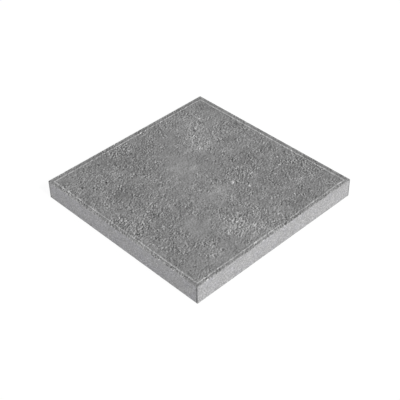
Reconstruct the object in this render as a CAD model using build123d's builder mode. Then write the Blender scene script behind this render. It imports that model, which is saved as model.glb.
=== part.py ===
from build123d import *
import os

# A square concrete paving slab, cast and pressed as one solid piece.
# It is a thin block with a wide, very shallow bevel all round its walking face,
# so that neighbouring slabs don't chip each other where they meet.
# The upright corners and the line under the bevel share one small radius, and
# the foot has its own.
# The slab lies flat: X and Y run along its sides, Z points up, and the origin
# is the middle of its underside, which beds on sand or mortar.

# Driving dimensions, in millimetres
slab_length = 400.0  # along X
slab_width = 400.0  # along Y
slab_thickness = 40.0  # underside to walking face
bevel_width = 8.0  # from the side face in to the walking face, seen from above
bevel_drop = 0.6  # from the walking face down to the bevel's outer line
arris_radius = 1.2  # on the upright corners and along the bevel's outer line
foot_radius = 1.0  # where the side faces meet the underside


with BuildPart() as paving_slab:
    # The block as it comes out of its mould
    with BuildSketch(Plane.XY) as plan:
        Rectangle(slab_length, slab_width)
    extrude(amount=slab_thickness)

    # The shallow bevel that the press leaves round the walking face
    walking_face = paving_slab.faces().sort_by(Axis.Z)[-1]
    chamfer(
        walking_face.edges(),
        length=bevel_width,
        length2=bevel_drop,
        reference=walking_face,
    )

    # The arrises: four upright corners and the line round the slab under the bevel
    upright_corners = paving_slab.edges().filter_by(Axis.Z)
    side_faces = [face for face in paving_slab.faces() if abs(face.normal_at().Z) < 0.001]
    bevel_line = [face.edges().sort_by(Axis.Z)[-1] for face in side_faces]
    fillet(upright_corners + bevel_line, arris_radius)

    # The foot, where the sides meet the underside
    underside = paving_slab.faces().sort_by(Axis.Z)[0]
    fillet(underside.edges(), foot_radius)

paving_slab.part.label = "paving_slab"

os.makedirs("parts", exist_ok=True)
export_step(paving_slab.part, "parts/paving_slab.step")
print("paving_slab", round(paving_slab.part.volume / 1000.0, 1), "cubic centimetres")
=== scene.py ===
# %% [markdown]
# # A concrete paving slab
#
# The object is one square slab of grey concrete, 400 mm a side and 40 mm thick, lying flat.
# Its walking face is pitted and a little riven, a narrow bevel runs round that face, and the
# four sides are smooth, because they were cast against steel.
#
# The solid of the slab comes from CAD and gives the frame: its box says where everything is.
# A solid like that has a dead flat top. Concrete is never flat, so this lesson builds a dense
# mesh of the same size in the same place, carves its relief, and then mixes the concrete's
# colours from Blender's own noise.

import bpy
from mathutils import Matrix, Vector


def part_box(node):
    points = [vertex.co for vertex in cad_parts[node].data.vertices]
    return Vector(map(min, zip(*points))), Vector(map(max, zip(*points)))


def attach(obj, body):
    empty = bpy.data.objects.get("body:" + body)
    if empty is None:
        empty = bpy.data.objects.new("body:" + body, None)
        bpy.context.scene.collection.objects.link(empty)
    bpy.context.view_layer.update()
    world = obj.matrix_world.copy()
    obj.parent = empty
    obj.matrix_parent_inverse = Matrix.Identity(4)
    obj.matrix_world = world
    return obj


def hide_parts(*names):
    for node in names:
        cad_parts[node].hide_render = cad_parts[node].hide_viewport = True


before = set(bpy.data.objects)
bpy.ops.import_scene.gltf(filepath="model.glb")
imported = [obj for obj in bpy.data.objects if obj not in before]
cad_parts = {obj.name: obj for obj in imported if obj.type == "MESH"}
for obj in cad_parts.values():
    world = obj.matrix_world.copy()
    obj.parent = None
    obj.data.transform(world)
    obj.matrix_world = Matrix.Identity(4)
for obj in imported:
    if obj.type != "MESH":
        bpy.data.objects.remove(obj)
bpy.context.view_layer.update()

# %% Tools and units
import math

import bpy
import numpy as np
from mathutils import Quaternion, Vector, noise

mm = 0.001
low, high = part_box("paving_slab")
half_side = (high.x - low.x) / 2
thickness = high.z - low.z
print("half a side", round(half_side / mm, 1), "mm, thickness", round(thickness / mm, 1), "mm")

# %% [markdown]
# ## The camera
#
# The slab is seen corner-on from above, through a fairly long lens. The seven corners that
# show in the picture fix such a camera: its turn round the slab, its height above the
# horizon, its distance, its lens and a slight roll.
#
# A Track To constraint could aim the camera, but it can't roll. Here the line of sight
# becomes a rotation with to_track_quat, and the roll is one more turn about that line.

# %% Place the camera
picture_side = 400  # pixels
sensor_width = 36.0  # millimetres
focal_pixels = 959.6  # the lens, measured in pixels of the picture
camera_turn = math.radians(226.213)  # from +X, anticlockwise seen from above
camera_height = math.radians(39.807)  # above the horizon
camera_roll = math.radians(-1.083)
camera_distance = 1.7508
aim_point = Vector((-0.03934, -0.04317, 0.0394))


def direction(turn, height):
    """A unit vector at this turn round the slab and this height above the horizon."""
    flat = math.cos(height)
    return Vector((flat * math.cos(turn), flat * math.sin(turn), math.sin(height)))


def make_camera():
    """A camera that looks at the aim point, rolled about its own line of sight."""
    camera = bpy.data.objects.new("camera", bpy.data.cameras.new("camera"))
    camera.data.sensor_width = sensor_width
    camera.data.lens = focal_pixels / picture_side * sensor_width
    towards_camera = direction(camera_turn, camera_height)
    camera.location = aim_point + towards_camera * camera_distance
    camera.rotation_mode = "QUATERNION"
    level = towards_camera.to_track_quat("Z", "Y")
    camera.rotation_quaternion = Quaternion(towards_camera, camera_roll) @ level
    bpy.context.scene.collection.objects.link(camera)
    bpy.context.scene.camera = camera
    return camera


camera = make_camera()
print("lens", round(camera.data.lens, 1), "mm")

# %% [markdown]
# ## Small helpers for node trees
#
# Every material here is a chain of small nodes. Two helpers keep the chains short to read:
# one adds a node and sets its values, the other joins an output to an input.

# %% Add and join nodes
def add(tree, kind, values=None, **settings):
    """A new shader node. Settings are its menus, and values go into its sockets by name or number."""
    made = tree.nodes.new("ShaderNode" + kind)
    for name, setting in settings.items():
        setattr(made, name, setting)
    for socket, value in (values or {}).items():
        made.inputs[socket].default_value = value
    return made


def join(tree, source, target):
    """Joins an output socket to an input socket."""
    tree.links.new(source, target)
    return target


def math_step(tree, operation, first, second=None, third=None, clamp=False):
    """One Math node. Each of its inputs is a number or another node's output."""
    made = add(tree, "Math", operation=operation, use_clamp=clamp)
    for socket, value in zip(made.inputs, (first, second, third)):
        if isinstance(value, bpy.types.NodeSocket):
            join(tree, value, socket)
        elif value is not None:
            socket.default_value = value
    return made.outputs["Value"]


print("node helpers ready")

# %% [markdown]
# ## Floor, sky and lamp
#
# The picture has a pure white ground. Making it white with more light would wash out the
# slab, so the ground is white only to the camera: Light Path tells a camera ray from a
# lighting ray. The lighting rays meet a plain pale floor and a soft grey sky, at a level
# where a colour renders about as it is written. The floor keeps a little of its real
# shading for the camera too, and with it the slab's soft shadow.
#
# One broad lamp stands to the right of the camera. It makes the right side of the slab the
# brightest and rakes across the walking face, so that its grain shows.

# %% See white, light grey
sky_light = 0.64  # the sky's strength for lighting
floor_colour = 0.80  # how much light the floor gives back
shadow_share = 0.09  # how much of the floor's real shading the camera sees
open_floor = 0.9  # the level at which a white floor renders away from the slab
floor_gap = 0.2 * mm  # keeps the floor from touching the underside
lamp_strength = 1.95
lamp_softness = math.radians(14)  # the lamp's width in the sky
lamp_turn = math.radians(268)
lamp_height = math.radians(42)


def seen_directly(tree):
    """1 for rays that look at the ground itself, 0 for rays that only carry its light."""
    path = add(tree, "LightPath")
    camera_ray = path.outputs["Is Camera Ray"]
    mirror_ray = path.outputs["Is Glossy Ray"]
    either = math_step(tree, "MAXIMUM", camera_ray, mirror_ray)
    return math_step(tree, "MAXIMUM", either, path.outputs["Is Transmission Ray"])


def make_sky():
    """A white backdrop that lights the slab as a soft grey sky."""
    world = bpy.data.worlds.new("sky")
    bpy.context.scene.world = world
    world.use_nodes = True
    tree = world.node_tree
    background = tree.nodes["Background"]
    background.inputs["Color"].default_value = (1, 1, 1, 1)
    lit = math_step(tree, "MULTIPLY", seen_directly(tree), 1 - sky_light)
    join(tree, math_step(tree, "ADD", lit, sky_light), background.inputs["Strength"])
    return world


def make_floor():
    """A wide plane under the slab, white to the camera apart from the slab's shadow."""
    reach = 40 * half_side
    corners = [(-reach, -reach, 0), (reach, -reach, 0), (reach, reach, 0), (-reach, reach, 0)]
    mesh = bpy.data.meshes.new("floor")
    mesh.from_pydata(corners, [], [(0, 1, 2, 3)])
    floor = bpy.data.objects.new("floor", mesh)
    floor.location.z = low.z - floor_gap
    bpy.context.scene.collection.objects.link(floor)
    material = bpy.data.materials.new("studio floor")
    material.use_nodes = True
    tree = material.node_tree
    tree.nodes.remove(tree.nodes["Principled BSDF"])
    plain = add(tree, "BsdfDiffuse", {"Color": (floor_colour, floor_colour, floor_colour, 1)})
    glow = add(tree, "Emission", {"Color": (1, 1, 1, 1), "Strength": 1 - open_floor * shadow_share})
    shaded = add(tree, "BsdfDiffuse", {"Color": (shadow_share, shadow_share, shadow_share, 1)})
    shown = add(tree, "AddShader")
    join(tree, glow.outputs[0], shown.inputs[0])
    join(tree, shaded.outputs[0], shown.inputs[1])
    choice = add(tree, "MixShader")
    join(tree, seen_directly(tree), choice.inputs["Fac"])
    join(tree, plain.outputs[0], choice.inputs[1])
    join(tree, shown.outputs[0], choice.inputs[2])
    join(tree, choice.outputs[0], tree.nodes["Material Output"].inputs["Surface"])
    mesh.materials.append(material)
    return floor


def make_lamp():
    """A broad lamp far off to the right of the camera."""
    lamp = bpy.data.objects.new("lamp", bpy.data.lights.new("lamp", "SUN"))
    lamp.data.energy = lamp_strength
    lamp.data.angle = lamp_softness
    lamp.rotation_mode = "QUATERNION"
    lamp.rotation_quaternion = direction(lamp_turn, lamp_height).to_track_quat("Z", "Y")
    bpy.context.scene.collection.objects.link(lamp)
    return lamp


make_sky()
make_floor()
make_lamp()
bpy.context.scene.view_settings.view_transform = "Standard"
print("sky", sky_light, "floor", floor_colour, "lamp", lamp_strength)

# %% [markdown]
# ## The slab's body
#
# A slab could start as a cube with a bevel and a subdivision, but that spends its faces
# evenly, and here nearly all of them belong on the walking face. So the mesh is laid out as
# rows and columns of points, like a fishing net spread over the top. The net is closer near
# the rim, where the bevel and the rounded arris need it. Its border is then carried down the
# sides ring by ring, and a coarser net closes the underside.

# %% Stations of the net
bevel_width = 8.0 * mm
bevel_drop = 0.6 * mm
arris_radius = 1.2 * mm
foot_radius = 1.0 * mm
rim_stations = [0, 0.12, 0.4, 0.8, 1.3, 2.1, 3.1, 4.2, 5.3, 6.4, 7.3, 8.0]  # mm in from the side
face_cells = 258  # between the two bevels
underside_step = 8  # stations to one cell of the underside


def make_stations():
    """Distances along one side of the slab, from one corner to the other."""
    rim = np.array(rim_stations) * mm
    face = np.linspace(bevel_width, 2 * half_side - bevel_width, face_cells + 1)
    return np.concatenate([rim[:-1], face, (2 * half_side - rim[:-1])[::-1]])


stations = make_stations()
count = len(stations)
print(count - 1, "cells along a side, of", round(float(np.diff(stations).max()) / mm, 2), "mm at most")

# %% [markdown]
# The upright corners are rounded. Each square ring of the net is bent to a rounded square:
# near a corner, its points slide onto an arc. The ring's distance in from the side is kept,
# because the bevel, the arris and the rim's colours all depend on it.

# %% Round the corners of the net
def round_corner(from_x_side, from_y_side, radius):
    """Moves points near a corner, given by their distances from its two sides, onto arcs."""
    ring = np.minimum(from_x_side, from_y_side)
    arc = np.maximum(radius - ring, 0)
    along = np.maximum(from_x_side, from_y_side) - ring
    on_arc = along < arc
    angle = np.radians(45) * (1 - along / np.where(on_arc, arc, 1))
    centre = ring + arc
    far = np.where(on_arc, centre - arc * np.sin(angle), np.maximum(from_x_side, from_y_side))
    near = np.where(on_arc, centre - arc * np.cos(angle), ring)
    x_is_near = from_x_side <= from_y_side
    return np.where(x_is_near, near, far), np.where(x_is_near, far, near), ring


def lay_net():
    """The net's points seen from above, and how far in from the side each one lies."""
    down_x, down_y = np.meshgrid(stations, stations, indexing="ij")
    side = 2 * half_side
    from_x = np.minimum(down_x, side - down_x)
    from_y = np.minimum(down_y, side - down_y)
    moved_x, moved_y, inset = round_corner(from_x, from_y, arris_radius)
    x = np.where(down_x < half_side, moved_x, side - moved_x) - half_side
    y = np.where(down_y < half_side, moved_y, side - moved_y) - half_side
    return x, y, inset


net_x, net_y, net_inset = lay_net()
print(net_x.size, "points on the walking face")

# %% [markdown]
# ## The relief of the walking face
#
# A pressed slab is cast against a patterned plate or has its face washed before it sets.
# What shows is a skin of sand grains with pits between them, rough in some places and
# nearly smooth in others. Four things make it here: a map of rough and smooth patches,
# lumps of paste drawn out a little along the press's stroke, single sand grains, and pits
# of different sizes. The highest lumps are cut off level, as feet wear them.
#
# A Displace modifier with a texture could do this, but then no other part of the lesson
# could ask how deep the relief is. Numbers in an array can be carved, measured and later
# handed to the colours.

# %% Noise sampled at the net's points
def field(x, y, size, seed, octaves=2, gain=0.6):
    """Smooth noise from about -1 to 1, with bumps of this size in metres."""
    where = np.stack([x.ravel() / size, y.ravel() / size, np.full(x.size, seed)], axis=1)
    values = [noise.fractal(point, gain, 2.0, octaves) for point in where.tolist()]
    return np.array(values).reshape(x.shape)


def spot(x, y, across, along, radius):
    """1 at a place on the slab, fading to 0 at the radius. The place is in shares of a side."""
    centre_x = (across - 0.5) * 2 * half_side
    centre_y = (along - 0.5) * 2 * half_side
    distance = np.hypot(x - centre_x, y - centre_y) / radius
    return np.clip(1 - distance**2, 0, 1) ** 2


print("a spot of 10 mm holds", int((spot(net_x, net_y, 0.5, 0.5, 10 * mm) > 0).sum()), "points")

# %% Turn the net along the grain
grain_turn = math.radians(34)  # from +X
grain_stretch = 1.42


def drawn_out(x, y, stretch=grain_stretch):
    """The net's points turned and shortened along the grain, so that noise comes out longer there."""
    along = (x * math.cos(grain_turn) + y * math.sin(grain_turn)) / stretch
    across = y * math.cos(grain_turn) - x * math.sin(grain_turn)
    return along, across


print("grain turned", round(math.degrees(grain_turn)), "degrees, stretched", grain_stretch)

# %% [markdown]
# No slab is equally rough all over: where the paste was wetter, it closed up smooth. Noise
# alone would put such patches anywhere, so those that show in the picture are listed,
# each with its place in shares of a side, its radius in millimetres and its strength. Noise
# is multiplied under them, so that the roughness also changes from one thumb's width to the
# next, with a few spots much rougher than the rest.

# %% Rough and smooth patches
usual_roughness = 0.80
rough_contrast = 0.8  # how strongly noise changes the roughness
roughness_limits = (0.35, 2.1)
rough_patches = [
    (0.38, 0.95, 38, 0.95),
    (0.05, 0.52, 45, 0.30),
    (0.18, 0.47, 35, 0.45),
    (0.42, 0.15, 28, 0.40),
    (0.52, 0.04, 35, 0.22),
    (0.94, 0.22, 45, 0.45),
    (0.92, 0.68, 40, 0.15),
    (0.69, 0.70, 28, 0.35),
    (0.69, 0.40, 42, 0.50),
    (0.82, 0.83, 25, 0.40),
]
smooth_patches = [
    (0.50, 0.62, 62, 0.55),
    (0.55, 0.74, 45, 0.40),
    (0.62, 0.84, 38, 0.45),
    (0.44, 0.34, 42, 0.58),
    (0.27, 0.26, 48, 0.62),
    (0.64, 0.56, 35, 0.35),
    (0.60, 0.17, 30, 0.20),
    (0.68, 0.05, 25, 0.20),
    (0.80, 0.52, 35, 0.15),
    (0.06, 0.95, 40, 0.25),
    (0.24, 0.04, 55, 0.42),
    (0.11, 0.11, 42, 0.28),
    (0.93, 0.84, 50, 0.32),
]


def patches(listed, x, y):
    """The sum of some spots, each given by its place, its radius in millimetres and its strength."""
    total = np.zeros_like(x)
    for across, along, radius, strength in listed:
        total += strength * spot(x, y, across, along, radius * mm)
    return total


rough_swings = rough_contrast * field(net_x, net_y, 14 * mm, seed=3.7, octaves=3, gain=0.75)
rough_map = usual_roughness * np.exp(rough_swings)
rough_map += patches(rough_patches, net_x, net_y) - patches(smooth_patches, net_x, net_y)
rough_map = np.clip(rough_map, *roughness_limits)
print("roughness from", round(float(rough_map.min()), 2), "to", round(float(rough_map.max()), 2))

# %% [markdown]
# Lime, damp and dust shade the face in broad soft patches, and here and there one pale stone
# or one deep hole stands out by itself. They are listed in the same way. A stone also
# lifts the relief to the top, and a hole deepens it.

# %% Pale and dark patches
pale_patches = [
    (0.44, 0.05, 46, 0.24),
    (0.38, 0.18, 50, 0.20),
    (0.22, 0.09, 48, 0.10),
    (0.50, 0.58, 62, 0.12),
    (0.50, 0.38, 55, 0.11),
    (0.58, 0.68, 36, 0.07),
    (0.69, 0.70, 40, 0.26),
    (0.77, 0.84, 55, 0.13),
    (0.94, 0.80, 40, 0.05),
    (0.94, 0.56, 40, 0.05),
    (0.56, 0.13, 46, 0.11),
    (0.82, 0.68, 36, 0.09),
]
dark_patches = [
    (0.20, 0.68, 45, 0.12),
    (0.36, 0.87, 58, 0.12),
    (0.50, 0.82, 40, 0.08),
    (0.06, 0.78, 45, 0.05),
    (0.12, 0.33, 52, 0.06),
    (0.84, 0.26, 55, 0.09),
    (0.80, 0.48, 50, 0.06),
    (0.66, 0.08, 32, 0.03),
]
pale_map = patches(pale_patches, net_x, net_y) - patches(dark_patches, net_x, net_y)
print("paleness from", round(float(pale_map.min()), 2), "to", round(float(pale_map.max()), 2))

# %% Single pale stones and dark holes
pale_stones = [
    (0.594, 0.371, 5.4, 0.70),
    (0.602, 0.379, 5.4, 0.60),
    (0.635, 0.302, 4.6, 0.90),
    (0.656, 0.271, 3.8, 0.42),
    (0.423, 0.904, 4.2, 0.70),
    (0.584, 0.070, 4.2, 0.70),
    (0.851, 0.854, 4.2, 0.70),
    (0.851, 0.309, 4.2, 0.70),
    (0.891, 0.358, 3.8, 0.60),
    (0.457, 0.208, 4.2, 0.60),
    (0.446, 0.094, 4.8, 0.58),
    (0.156, 0.378, 4.2, 0.60),
    (0.075, 0.528, 3.8, 0.55),
    (0.808, 0.074, 3.8, 0.50),
    (0.748, 0.678, 4.2, 0.55),
]
# The holes are carved deeper and also painted darker in colour, as painted shade in them.
dark_holes = [
    (0.452, 0.185, 4.4, 0.75),
    (0.761, 0.797, 4.6, 0.85),
    (0.251, 0.778, 4.2, 0.70),
    (0.081, 0.845, 4.2, 0.75),
    (0.246, 0.926, 4.2, 0.70),
    (0.411, 0.882, 4.0, 0.65),
    (0.697, 0.718, 4.0, 0.60),
    (0.941, 0.364, 4.0, 0.60),
    (0.556, 0.446, 4.0, 0.60),
]
stone_map = patches(pale_stones, net_x, net_y)
hole_map = patches(dark_holes, net_x, net_y)
print(len(pale_stones), "pale stones and", len(dark_holes), "dark holes")

# %% Carve the grain and the pits
lump_depth = 1.4 * mm
lump_level = 0.15  # where the noise is 0, the face lies this share of a lump's depth down
lump_swing = 0.6  # and noise moves it up and down by this share
sand_depth = 0.20 * mm
swell_depth = 0.35 * mm
sand_seed = 5
pit_count = 520
pit_seed = 11
pit_places = (0.02, 0.98)  # shares of a side
pit_radii = (1.6, 3.6)  # millimetres
pit_depths = (0.3, 1.2)  # millimetres
pit_reach = 4  # stations on either side of a pit that it can touch
hole_depth = 1.2 * mm  # of the single dark holes
deepest = 2.2 * mm  # the relief is cut off level here


def carve_grain(x, y, rough):
    """Lumps, sand and swell, as depths below the highest point."""
    lumps = field(*drawn_out(x, y), 3.8 * mm, seed=8.1, octaves=2, gain=0.6)
    sand = np.random.default_rng(sand_seed).normal(size=x.shape)
    swell = field(x, y, 38 * mm, seed=5.3)
    depth = rough * (lump_depth * (lump_level - lump_swing * lumps) + sand_depth * sand)
    return np.maximum(depth, 0) + swell_depth * (0.5 - 0.5 * swell)


def carve_pits(x, y, rough):
    """Round pits scattered by chance, deeper where the face is rough."""
    chance = np.random.default_rng(pit_seed)
    depth = np.zeros_like(x)
    for _ in range(pit_count):
        across, along = chance.uniform(*pit_places, 2)
        radius = chance.uniform(*pit_radii) * mm
        deep = chance.uniform(*pit_depths) * mm
        row = np.searchsorted(stations, across * 2 * half_side)
        column = np.searchsorted(stations, along * 2 * half_side)
        rows = slice(max(row - pit_reach, 0), row + pit_reach + 1)
        columns = slice(max(column - pit_reach, 0), column + pit_reach + 1)
        pit = spot(x[rows, columns], y[rows, columns], across, along, radius)
        deep = rough[row, column] * deep
        depth[rows, columns] = np.maximum(depth[rows, columns], deep * pit)
    return depth


grain = carve_grain(net_x, net_y, rough_map)
pits = carve_pits(net_x, net_y, rough_map)
relief = (grain + pits) * np.clip(1 - stone_map, 0, 1) + hole_depth * hole_map
relief = np.minimum(relief - relief.min(), deepest)
print("relief to", round(float(relief.max()) / mm, 2), "mm deep, mean", round(float(relief.mean()) / mm, 2))

# %% [markdown]
# The bevel slopes down from the walking face to the arris, and the arris itself is a small
# round. Towards the very edge the relief fades out, because the mould's rim pressed it flat.

# %% Shape the rim
fade_width = 3.5 * mm


def rim_drop(inset):
    """How far the bevel and the rounded arris lie below the walking face."""
    bevel = bevel_drop * np.clip(1 - inset / bevel_width, 0, 1)
    short = np.clip(arris_radius - inset, 0, None)
    return bevel + arris_radius - np.sqrt(arris_radius**2 - short**2)


edge_fade = np.clip(net_inset / fade_width, 0, 1)
net_z = high.z - rim_drop(net_inset) - relief * edge_fade
print("outer line of the top at", round(float(net_z[0, count // 2]) / mm, 2), "mm")

# %% [markdown]
# ## The sides and the underside
#
# The net's border becomes a chain of points. Each ring of the side is that chain at a lower
# height, moved in a little by soft noise, as cast faces are never quite true. The last rings
# round the foot.

# %% Carry the border down
def border_path():
    """Row and column of each border point, once round the net."""
    last = count - 1
    steps = range(last)
    south = [(i, 0) for i in steps]
    east = [(last, j) for j in steps]
    north = [(last - i, last) for i in steps]
    west = [(0, last - j) for j in steps]
    return np.array(south + east + north + west)


def outward(x, y):
    """The direction away from the slab at points of its outline."""
    straight = half_side - arris_radius
    away_x = np.sign(x) * np.clip(np.abs(x) - straight, 0, None)
    away_y = np.sign(y) * np.clip(np.abs(y) - straight, 0, None)
    length = np.hypot(away_x, away_y)
    return away_x / length, away_y / length


border = border_path()
border_x = net_x[border[:, 0], border[:, 1]]
border_y = net_y[border[:, 0], border[:, 1]]
away_x, away_y = outward(border_x, border_y)
print(len(border), "points round the slab")

# %% Heights and insets of the rings
wall_rings = 10
wall_top = float(net_z[0, count // 2])
wall_heights = np.linspace(wall_top, foot_radius, wall_rings + 1)[1:]
foot_angles = np.radians([22.5, 45, 67.5, 90])  # steps round the foot's arc
ring_heights = list(wall_heights) + [foot_radius * (1 - math.sin(a)) for a in foot_angles]
ring_insets = [0] * wall_rings + [foot_radius * (1 - math.cos(a)) for a in foot_angles]
wall_wave = 0.12 * mm  # how far the walls are pressed in at most


def ring_points(height, inset):
    """One ring of the side, pressed in a little by soft noise where it is part of the wall."""
    wave = np.array([noise.noise((x / (25 * mm), y / (25 * mm), height / (12 * mm)))
                     for x, y in zip(border_x.tolist(), border_y.tolist())])
    push = inset + wall_wave * (0.5 + 0.5 * wave)
    ring_x = border_x - away_x * push
    ring_y = border_y - away_y * push
    return np.stack([ring_x, ring_y, np.full(len(border), height)], axis=1)


rings = [ring_points(height, inset) for height, inset in zip(ring_heights, ring_insets)]
print(len(rings), "rings below the top's outer line")

# %% [markdown]
# Now the points become one closed mesh. Every eighth station carries on under the slab, and
# an outer cell of the underside simply has more corners than four.

# %% Faces of the slab
def grid_faces(numbers):
    """Quads between neighbours in a table of point numbers."""
    corners = [numbers[:-1, :-1], numbers[1:, :-1], numbers[1:, 1:], numbers[:-1, 1:]]
    return np.stack([c.ravel() for c in corners], axis=1).tolist()


def band_faces(upper, lower):
    """Quads between two closed rings of point numbers."""
    return np.stack([upper, lower, np.roll(lower, -1), np.roll(upper, -1)], axis=1).tolist()


top_numbers = np.arange(count * count).reshape(count, count)
points = [np.stack([net_x.ravel(), net_y.ravel(), net_z.ravel()], axis=1)]
faces = grid_faces(top_numbers)
top_face_count = len(faces)
upper = top_numbers[border[:, 0], border[:, 1]]
first_free = count * count
for ring in rings:
    lower = np.arange(first_free, first_free + len(ring))
    points.append(ring)
    faces += band_faces(upper, lower)
    upper = lower
    first_free += len(ring)
side_face_count = len(faces) - top_face_count
print(top_face_count, "faces on top,", side_face_count, "on the sides")

# %% Close the underside
underside_wave = 0.25 * mm


def underside_points():
    """The inner points of the coarse net under the slab."""
    inner = stations[underside_step:-1:underside_step] - half_side
    inner_x, inner_y = np.meshgrid(inner, inner, indexing="ij")
    inner_z = underside_wave * (0.5 + 0.5 * field(inner_x, inner_y, 30 * mm, seed=21.5))
    return np.stack([inner_x.ravel(), inner_y.ravel(), inner_z.ravel()], axis=1)


def underside_faces(foot_ring, first_number):
    """Faces between the inner points and every point of the foot ring."""
    place = dict(zip(map(tuple, border.tolist()), foot_ring.tolist()))
    inside = range(underside_step, count - 1, underside_step)
    for row in inside:
        for column in inside:
            place[row, column] = first_number
            first_number += 1
    made = []
    for row in range(0, count - 1, underside_step):
        for column in range(0, count - 1, underside_step):
            made.append(loop_round(place, row, column))
    return made


def loop_round(place, row, column):
    """Walks round one coarse cell, and keeps the places that hold a point."""
    loop = []
    for row_step, column_step in ((0, 1), (1, 0), (0, -1), (-1, 0)):
        for _ in range(underside_step):
            if (row, column) in place:
                loop.append(place[row, column])
            row += row_step
            column += column_step
    return loop


closing = underside_faces(upper, first_free)
points.append(underside_points())
faces += closing
print(len(closing), "faces underneath")

# %% Build the mesh
def build_slab():
    """One closed mesh for the whole slab, smooth-shaded."""
    mesh = bpy.data.meshes.new("slab")
    mesh.from_pydata(np.concatenate(points).tolist(), [], faces)
    mesh.validate()
    slab = bpy.data.objects.new("slab", mesh)
    bpy.context.scene.collection.objects.link(slab)
    mesh.polygons.foreach_set("use_smooth", [True] * len(mesh.polygons))
    return slab


slab = build_slab()
triangles = sum(len(p.vertices) - 2 for p in slab.data.polygons)
print(triangles, "triangles")

# %% [markdown]
# The colours have to agree with what was carved: deeper places get painted shade, and the
# speckle is stronger where the face is rough, but weaker on the pale line along the rim.
# Attributes keep these numbers at the mesh's own points, where the materials can read them.

# %% Remember depth and roughness at each point
worn_line = 8.5 * mm  # in from the side
worn_width = 3.0 * mm
rim_wear = 0.25  # how much of the speckle is gone there


def store(name, values, rest):
    """Keeps one number for each point of the mesh, for the materials to read."""
    every = np.full(len(slab.data.vertices), rest, np.float32)
    every[:values.size] = values.ravel()
    slab.data.attributes.new(name, "FLOAT", "POINT").data.foreach_set("value", every)


store("depth", relief / mm, 0.3)
worn = np.exp(-((net_inset - worn_line) / worn_width) ** 2)
store("rough", rough_map * (1 - rim_wear * worn), 0.5)
# The holes' share here is painted shade: it makes them darker than the paste around them.
store("pale", pale_map + stone_map - hole_map, 0)
print("attributes:", [a.name for a in slab.data.attributes if not a.is_internal])

# %% [markdown]
# ## The concrete
#
# Concrete is a mixture: grey cement paste, pale and dark sand, and dust in the low places.
# A picture of concrete could be wrapped round the slab, but it would repeat and would have
# to fit. Noise in the object's own coordinates has no seams and the right size everywhere.
#
# Each material is a base grey times a tone. The tone is e to the sum of a few small swings,
# one for each thing that makes concrete uneven, so that a swing up and the same swing down
# look equally strong and no colour can fall below black.

# %% Swings of tone
def coordinates(tree):
    """The point on the slab in millimetres, so that texture sizes can be given in millimetres."""
    place = add(tree, "TexCoord")
    scaled = add(tree, "VectorMath", operation="SCALE", values={"Scale": 1 / mm})
    join(tree, place.outputs["Object"], scaled.inputs[0])
    return scaled.outputs["Vector"]


def noise_of(tree, place, size, detail=2.0, roughness=0.5):
    """Blender's noise with bumps of this size in millimetres, centred on 0."""
    texture = add(tree, "TexNoise", {"Scale": 1 / size, "Detail": detail, "Roughness": roughness})
    join(tree, place, texture.inputs["Vector"])
    return math_step(tree, "SUBTRACT", texture.outputs["Fac"], 0.5)


def read(tree, name):
    """A number stored at the mesh's points."""
    return add(tree, "Attribute", attribute_name=name).outputs["Fac"]


def grains_of(tree, place, size):
    """One random number for each sand grain of this size in millimetres, centred on 0."""
    texture = add(tree, "TexVoronoi", {"Scale": 1 / size})
    join(tree, place, texture.inputs["Vector"])
    return math_step(tree, "SUBTRACT", texture.outputs["Color"], 0.5)


def swing(tree, total, source, amount):
    """Adds a source times an amount to the sum of swings."""
    return math_step(tree, "ADD", total, math_step(tree, "MULTIPLY", source, amount))


print("tone helpers ready")

# %% [markdown]
# The rim shows two lines all round the top: a dark band on the bevel, and a thin pale line
# where the bevel meets the walking face. Outside them, along the two front sides, the arris is
# about as pale as the sides; towards the back the arris and both lines take other tones. All of
# this depends on the distance from the side, so a colour ramp draws each line. Straight lines
# would look ruled, so noise moves them in and out a little and breaks them into dashes.

# %% Distance from the sides
front_to_back = 60  # millimetres of X plus Y over which the front's tones give way to the back's


def from_sides(tree, place, shifts=(0.0, 0.0)):
    """Distances in millimetres from the nearest x side and the nearest y side."""
    split = add(tree, "SeparateXYZ")
    join(tree, place, split.inputs[0])
    distances = []
    for axis, shift in zip("XY", shifts):
        off_centre = math_step(tree, "ABSOLUTE", math_step(tree, "ADD", split.outputs[axis], shift))
        distances.append(math_step(tree, "SUBTRACT", half_side / mm, off_centre))
    return distances


def towards_back(tree, place):
    """0 along the two front sides, 1 along the two at the back."""
    split = add(tree, "SeparateXYZ")
    join(tree, place, split.inputs[0])
    both = math_step(tree, "ADD", split.outputs["X"], split.outputs["Y"])
    return math_step(tree, "ADD", math_step(tree, "DIVIDE", both, front_to_back), 0.5, clamp=True)


print("half a side in millimetres:", round(half_side / mm))

# %% Bands along the rim
rim_reach = 16.0  # millimetres covered by a ramp
arris_band = [(0.0, 1), (1.6, 0.95), (3.2, 0.3), (5.4, 0.15), (6.4, 0)]
dark_band = [(2.4, 0), (3.8, 0.8), (4.6, 1), (5.4, 0.7), (6.8, 0)]
pale_band = [(6.8, 0), (7.7, 0.4), (8.7, 1), (9.7, 0.4), (10.7, 0)]
inner_band = [(10.2, 0), (11.8, 1), (14.2, 0)]


def band(tree, distance, stops):
    """A ramp over the distance from the side: pairs of millimetres and strength."""
    ramp = add(tree, "ValToRGB")
    points = ramp.color_ramp.elements
    for number, (place, strength) in enumerate(stops):
        if number > 1:
            points.new(1)
        points[number].position = place / rim_reach
        points[number].color = (strength, strength, strength, 1)
    join(tree, math_step(tree, "DIVIDE", distance, rim_reach, clamp=True), ramp.inputs["Fac"])
    return ramp.outputs["Color"]


print("bands of the rim:", arris_band, dark_band, pale_band, inner_band)

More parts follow.
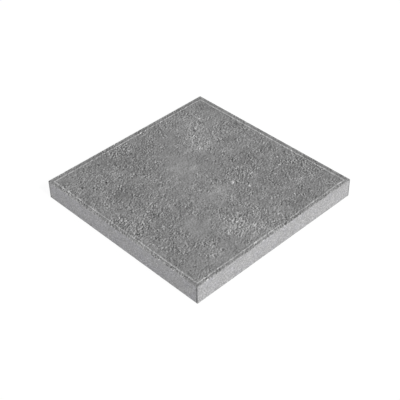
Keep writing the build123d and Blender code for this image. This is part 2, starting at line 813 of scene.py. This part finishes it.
# %% The rim's swing of tone
rim_shifts = (1.5, 1.9)  # millimetres that the lines sit nearer to the two front sides
rim_wobble = 1.8
usual_dash = 0.70  # how much of a line is there before noise breaks it up
long_dashes = 1.6
short_dashes = 4.0
dash_limits = (0.05, 1.0)
arris_tones = (0.42, -0.37)  # at the front sides, and what is added towards the back
dark_tones = (-0.05, -0.26)
pale_tones = (0.48, 0.09)
dashed_tone = 0.30  # what a whole dash adds to the pale line
inner_tone = -0.08


def tone_of(tree, back, tones):
    """A tone given by its value at the front sides and by what is added towards the back."""
    front, added = tones
    return math_step(tree, "MULTIPLY_ADD", back, added, front)


def rim_swing(tree, place):
    """The swing of tone that the rim's bands make together."""
    from_x, from_y = from_sides(tree, place, rim_shifts)
    wobble = math_step(tree, "MULTIPLY", noise_of(tree, place, 5, detail=2), rim_wobble)
    inset = math_step(tree, "ADD", math_step(tree, "MINIMUM", from_x, from_y), wobble)
    back = towards_back(tree, place)
    dashes = swing(tree, usual_dash, noise_of(tree, place, 22, detail=1), long_dashes)
    dashes = swing(tree, dashes, noise_of(tree, place, 5), short_dashes)
    dashes = math_step(tree, "MAXIMUM", dashes, dash_limits[0])
    dashes = math_step(tree, "MINIMUM", dashes, dash_limits[1])
    arris = tone_of(tree, back, arris_tones)
    total = math_step(tree, "MULTIPLY", band(tree, inset, arris_band), arris)
    dirt = math_step(tree, "MULTIPLY", band(tree, inset, dark_band), dashes)
    total = swing(tree, total, dirt, tone_of(tree, back, dark_tones))
    pale = math_step(tree, "MULTIPLY_ADD", dashes, dashed_tone, tone_of(tree, back, pale_tones))
    total = swing(tree, total, band(tree, inset, pale_band), pale)
    return swing(tree, total, band(tree, inset, inner_band), inner_tone)


print("lines shifted", rim_shifts, "mm")

# %% A matt grey shader
concrete_specular = 0.25  # half of the shader's usual share, as dry concrete hardly shines


def new_concrete(name, roughness):
    """A material with one matt shader, and its node tree."""
    material = bpy.data.materials.new(name)
    material.use_nodes = True
    shader = material.node_tree.nodes["Principled BSDF"]
    shader.inputs["Roughness"].default_value = roughness
    shader.inputs["Specular IOR Level"].default_value = concrete_specular
    return material, material.node_tree, shader


def set_colour(tree, shader, grey, swings):
    """Base grey, one colour or another node's, times e to the swings is the shader's colour."""
    scaled = add(tree, "VectorMath", operation="SCALE")
    if isinstance(grey, bpy.types.NodeSocket):
        join(tree, grey, scaled.inputs[0])
    else:
        scaled.inputs[0].default_value = grey
    join(tree, math_step(tree, "EXPONENT", swings), scaled.inputs["Scale"])
    join(tree, scaled.outputs["Vector"], shader.inputs["Base Color"])


def set_bump(tree, shader, height, distance):
    """A height in the range of about -1 to 1 becomes bump of this depth in metres."""
    bump = add(tree, "Bump", {"Distance": distance})
    join(tree, height, bump.inputs["Height"])
    join(tree, bump.outputs["Normal"], shader.inputs["Normal"])


print("shader helpers ready")

# %% [markdown]
# The walking face is grey paste with sand grains of every shade in it, each smaller than a
# grain of rice. The press left them drawn out slightly in one direction. Noise gives the
# tone of the paste, and Voronoi cells give each grain its own grey. Each lump also gets
# painted shading: one flank is painted lit and the other painted shaded, as a lamp from the
# side would light them. Bump alone is too weak for that in soft light, so the painted shading
# is one noise minus the same noise moved a little across the grain. All of them are turned
# and stretched along the grain, and all are stronger where the map says rough. The speckle's
# dark spots are made stronger than its pale ones, so it loses a little of its own square.

# %% Along the grain
def along_grain(tree, place):
    """The place, turned and shortened along the grain, as the net's points were."""
    values = {"Rotation": (0, 0, grain_turn), "Scale": (grain_stretch, 1, 1)}
    turned = add(tree, "Mapping", values, vector_type="TEXTURE")
    join(tree, place, turned.inputs["Vector"])
    return turned.outputs["Vector"]


print("the material's grain is stretched", grain_stretch, "times too")

# %% Painted lit and shaded flanks
lump_size = 3.2  # millimetres
shading_flank_reach = 2.2  # millimetres from the painted lit flank of a lump to its painted shaded one


def painted_flank_shading(tree, place):
    """Painted shading: above 0 on the painted lit flank of each lump, below 0 on its painted shaded one."""
    sides = []
    for share in (0.5, -0.5):
        moved = add(tree, "VectorMath", {1: (0, share * shading_flank_reach, 0)}, operation="ADD")
        join(tree, place, moved.inputs[0])
        sides.append(noise_of(tree, moved.outputs["Vector"], lump_size, detail=1, roughness=0.6))
    return math_step(tree, "SUBTRACT", *sides)


print("lumps of", lump_size, "mm, flanks", shading_flank_reach, "mm apart")

# %% The walking face
face_grey = (0.208, 0.208, 0.208)
flank_shading_swing = 2.05
paste_swing = 2.6
grain_swing = 0.9
speckle_bend = -0.2  # the share of its own square that the speckle gains
mottling_swing = 0.62
broad_swing = 0.45
patch_swing = 1.2  # for the listed patches
depth_shade_swing = -0.25  # painted shade, for each millimetre deeper than usual
usual_depth = 0.5


def make_face_concrete():
    """Pitted concrete: mottled paste, sand speckle, dark pits and the rim's lines."""
    material, tree, shader = new_concrete("walking face concrete", roughness=0.9)
    place = coordinates(tree)
    drawn = along_grain(tree, place)
    # Painted shading: each lump's flanks are painted lit and shaded, as a lamp from the side would light
    # them.
    speckle = math_step(tree, "MULTIPLY", painted_flank_shading(tree, drawn), flank_shading_swing)
    paste = noise_of(tree, drawn, 2.3, detail=2, roughness=0.6)
    speckle = swing(tree, speckle, paste, paste_swing)
    speckle = swing(tree, speckle, grains_of(tree, drawn, 1.4), grain_swing)
    speckle = swing(tree, speckle, math_step(tree, "MULTIPLY", speckle, speckle), speckle_bend)
    swings = math_step(tree, "MULTIPLY", speckle, read(tree, "rough"))
    swings = swing(tree, swings, noise_of(tree, place, 12, detail=2), mottling_swing)
    swings = swing(tree, swings, noise_of(tree, place, 30, detail=1), broad_swing)
    swings = swing(tree, swings, read(tree, "pale"), patch_swing)
    # Painted shade: deeper places in the relief are made darker.
    deeper = math_step(tree, "SUBTRACT", read(tree, "depth"), usual_depth)
    swings = swing(tree, swings, deeper, depth_shade_swing)
    swings = math_step(tree, "ADD", swings, rim_swing(tree, place))
    set_colour(tree, shader, face_grey, swings)
    height = noise_of(tree, place, 1.2, detail=3, roughness=0.6)
    set_bump(tree, shader, height, distance=0.5 * mm)
    return material


print("walking face grey", face_grey)

# %% [markdown]
# The sides were cast against steel, so they are smooth: fine pale grain, a faint mottling
# and a touch of blue from the fresh cement. The x sides get more of that blue than the y
# sides. Down each upright corner runs a thin dark line, where the fresh paste shrank away
# from the joint of the mould.

# %% The sides' grey and blue
side_grey = (0.385, 0.383, 0.385)
side_blue = (0.380, 0.378, 0.394)
usual_blue = 0.12  # the share of blue on the y sides
more_blue = 0.40  # what the x sides add to it
blue_swing = 3.0  # how strongly noise makes it patchy


def patchy_blue(tree, place):
    """The sides' grey, bluer in patches where the cement is richer, and more so on the x sides."""
    from_x, from_y = from_sides(tree, place)
    on_x_side = math_step(tree, "GREATER_THAN", from_y, from_x)
    usual = math_step(tree, "MULTIPLY_ADD", on_x_side, more_blue, usual_blue)
    patchy = noise_of(tree, place, 14, detail=2)
    share = math_step(tree, "MULTIPLY_ADD", patchy, blue_swing, usual, clamp=True)
    blend = add(tree, "Mix", {6: (*side_grey, 1), 7: (*side_blue, 1)}, data_type="RGBA")
    join(tree, share, blend.inputs[0])
    return blend.outputs[2]


print("side grey", side_grey, "and blue", side_blue)

# %% Air holes
hole_spacing = 14  # millimetres between the air holes
hole_radius = 0.9
hole_edge = 2.5  # how sharply a hole ends


def air_holes(tree, place):
    """1 in a small round hole left by an air bubble, 0 outside."""
    texture = add(tree, "TexVoronoi", {"Scale": 1 / hole_spacing})
    join(tree, place, texture.inputs["Vector"])
    distance = math_step(tree, "MULTIPLY", texture.outputs["Distance"], hole_spacing)
    inside = math_step(tree, "SUBTRACT", hole_radius, distance)
    return math_step(tree, "MULTIPLY", inside, hole_edge, clamp=True)


print("air holes about", hole_spacing, "mm apart")

# %% The dark line down each upright corner
corner_width = 4.2  # millimetres that the line takes of an x side
corner_squeeze = 1.6  # it takes that many times less of a y side
corner_shifts = (1.0, 0.0)  # millimetres that the lines are moved towards -X and -Y
corner_fade = 3.0  # how sharply a line ends


def corner_line(tree, place):
    """-1 on an upright corner of the slab, rising to 0 a few millimetres from it."""
    from_x, from_y = from_sides(tree, place, corner_shifts)
    corner = math_step(tree, "MAXIMUM", math_step(tree, "MULTIPLY", from_x, corner_squeeze), from_y)
    away = math_step(tree, "DIVIDE", corner, corner_width, clamp=True)
    return math_step(tree, "SUBTRACT", math_step(tree, "POWER", away, corner_fade), 1.0)


print("the corner line takes", corner_width, "mm of a side")

# %% The sides' concrete
side_mottling = 0.12
side_paste = 1.2
side_grains = 0.9
# The air holes' swing of colour is painted shade in them.
air_hole_shade_swing = -0.5
hole_height = -2.0  # against a height of 1 for the paste
corner_swing = 0.70


def make_side_concrete():
    """Smooth cast concrete, finely grained, with a dark line down each upright corner."""
    material, tree, shader = new_concrete("side concrete", roughness=0.85)
    place = coordinates(tree)
    swings = math_step(tree, "MULTIPLY", noise_of(tree, place, 16, detail=2), side_mottling)
    swings = swing(tree, swings, noise_of(tree, place, 2.4, detail=2, roughness=0.7), side_paste)
    swings = swing(tree, swings, grains_of(tree, place, 1.3), side_grains)
    holes = air_holes(tree, place)
    # Painted shade: the air holes are made darker in colour as well as bumped in.
    swings = swing(tree, swings, holes, air_hole_shade_swing)
    swings = swing(tree, swings, corner_line(tree, place), corner_swing)
    set_colour(tree, shader, patchy_blue(tree, place), swings)
    height = swing(tree, noise_of(tree, place, 1.6, detail=3, roughness=0.6), holes, hole_height)
    set_bump(tree, shader, height, distance=0.2 * mm)
    return material


print("the sides' paste swings by", side_paste, "and their grains by", side_grains)

# %% [markdown]
# Nobody sees the underside, but it is concrete too. It was struck off by hand in the open
# mould, so its grain is coarser than the sides' and nothing has worn it.

# %% The underside
underside_grey = (0.35, 0.35, 0.345)
underside_mottling = 0.4
underside_paste = 0.8
underside_grains = 0.6


def make_underside_concrete():
    """Open, sandy concrete from the bottom of the mould."""
    material, tree, shader = new_concrete("underside concrete", roughness=0.95)
    place = coordinates(tree)
    swings = math_step(tree, "MULTIPLY", noise_of(tree, place, 45, detail=4), underside_mottling)
    swings = swing(tree, swings, noise_of(tree, place, 2.8, detail=3), underside_paste)
    swings = swing(tree, swings, grains_of(tree, place, 2.2), underside_grains)
    set_colour(tree, shader, underside_grey, swings)
    height = noise_of(tree, place, 3.0, detail=4, roughness=0.65)
    set_bump(tree, shader, height, distance=0.8 * mm)
    return material


print("underside grey", underside_grey)

# %% Put the materials on
def dress(mesh):
    """Gives each face of the mesh the concrete of its part of the slab."""
    for material in (make_face_concrete(), make_side_concrete(), make_underside_concrete()):
        mesh.materials.append(material)
    which = np.zeros(len(mesh.polygons), int)
    which[top_face_count:] = 1
    which[top_face_count + side_face_count:] = 2
    mesh.polygons.foreach_set("material_index", which)


dress(slab.data)
print("materials:", [material.name for material in slab.data.materials])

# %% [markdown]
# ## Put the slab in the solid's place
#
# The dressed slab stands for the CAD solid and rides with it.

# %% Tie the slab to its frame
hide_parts("paving_slab")
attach(slab, "root")
